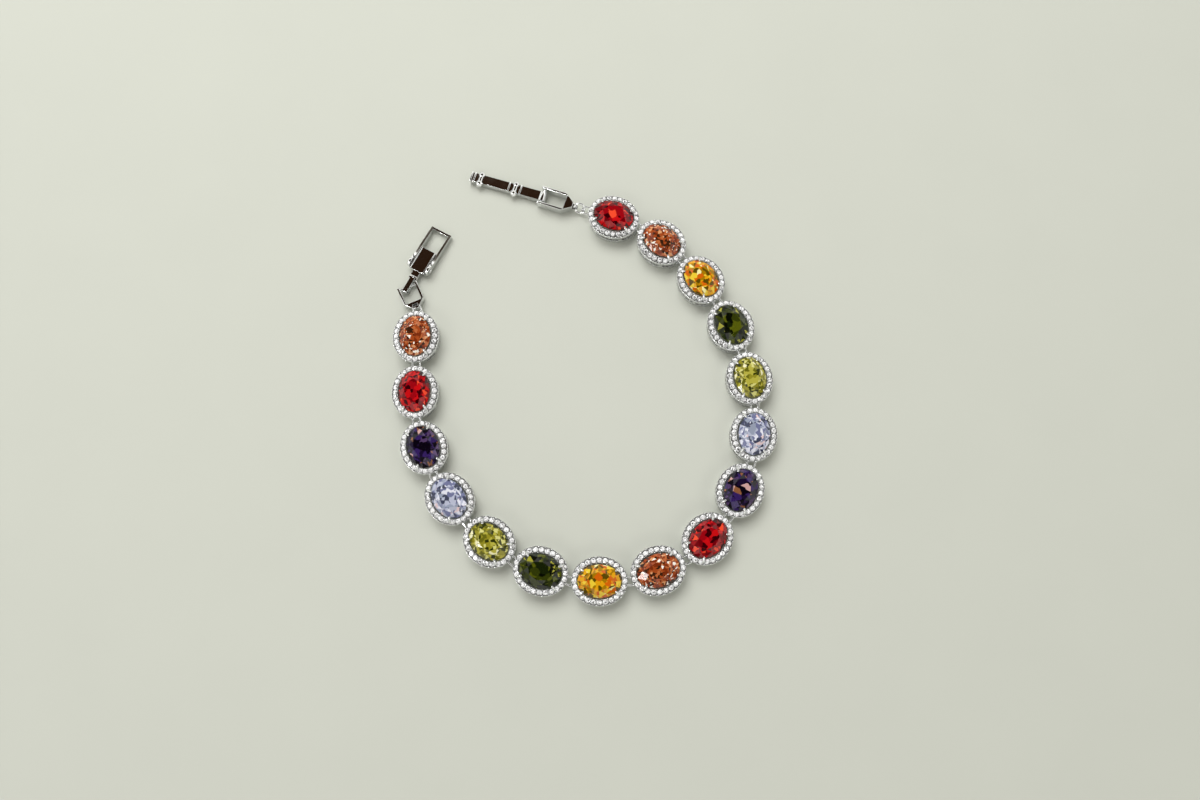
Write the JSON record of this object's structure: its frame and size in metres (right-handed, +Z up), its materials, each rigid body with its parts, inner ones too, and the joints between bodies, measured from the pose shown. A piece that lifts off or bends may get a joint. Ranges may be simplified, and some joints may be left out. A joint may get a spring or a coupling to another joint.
{
  "type": "tennis bracelet",
  "caption": "Open tennis bracelet of oval stones in pierced halo settings, with a fold-over clasp and an extender strip.",
  "frame": {"origin": "middle of the open bracelet's box, on the surface that it lies on", "axes": "+Z up out of the surface; +Y from the middle of the chain towards the two free ends; +X towards the extender's half of the chain"},
  "size_m": [0.064, 0.0748, 0.0038],
  "materials": {
    "metal": "polished, rhodium plated",
    "red": "cut and polished",
    "champagne": "cut and polished",
    "amber": "cut and polished",
    "olive_green": "cut and polished",
    "peridot": "cut and polished",
    "lavender": "cut and polished",
    "violet": "cut and polished"
  },
  "bodies": {
    "bracelet": {"setting_01": "metal", "setting_02": "metal", "setting_03": "metal", "setting_04": "metal", "setting_05": "metal", "setting_06": "metal", "setting_07": "metal", "setting_08": "metal", "setting_09": "metal", "setting_10": "metal", "setting_11": "metal", "setting_12": "metal", "setting_13": "metal", "setting_14": "metal", "setting_15": "metal", "setting_16": "metal", "stone_01_red": "red", "stone_02_champagne": "champagne", "stone_03_amber": "amber", "stone_04_olive_green": "olive_green", "stone_05_peridot": "peridot", "stone_06_lavender": "lavender", "stone_07_violet": "violet", "stone_08_red": "red", "stone_09_champagne": "champagne", "stone_10_amber": "amber", "stone_11_olive_green": "olive_green", "stone_12_peridot": "peridot", "stone_13_lavender": "lavender", "stone_14_violet": "violet", "stone_15_red": "red", "stone_16_champagne": "champagne", "jump_ring": "metal", "extender_link": "metal", "extender_strip": "metal", "clasp_link": "metal", "clasp_tongue": "metal", "clasp_pin": "metal"},
    "lever": {"clasp_lever": "metal"}
  },
  "joints": [
    {"name": "lever_hinge", "type": "hinge", "parent": "bracelet", "child": "lever", "pos_m": [-0.02825, 0.01972, 0.00105], "axis": [0.8829, -0.4695, 0], "range_deg": [0, 165]}
  ]
}
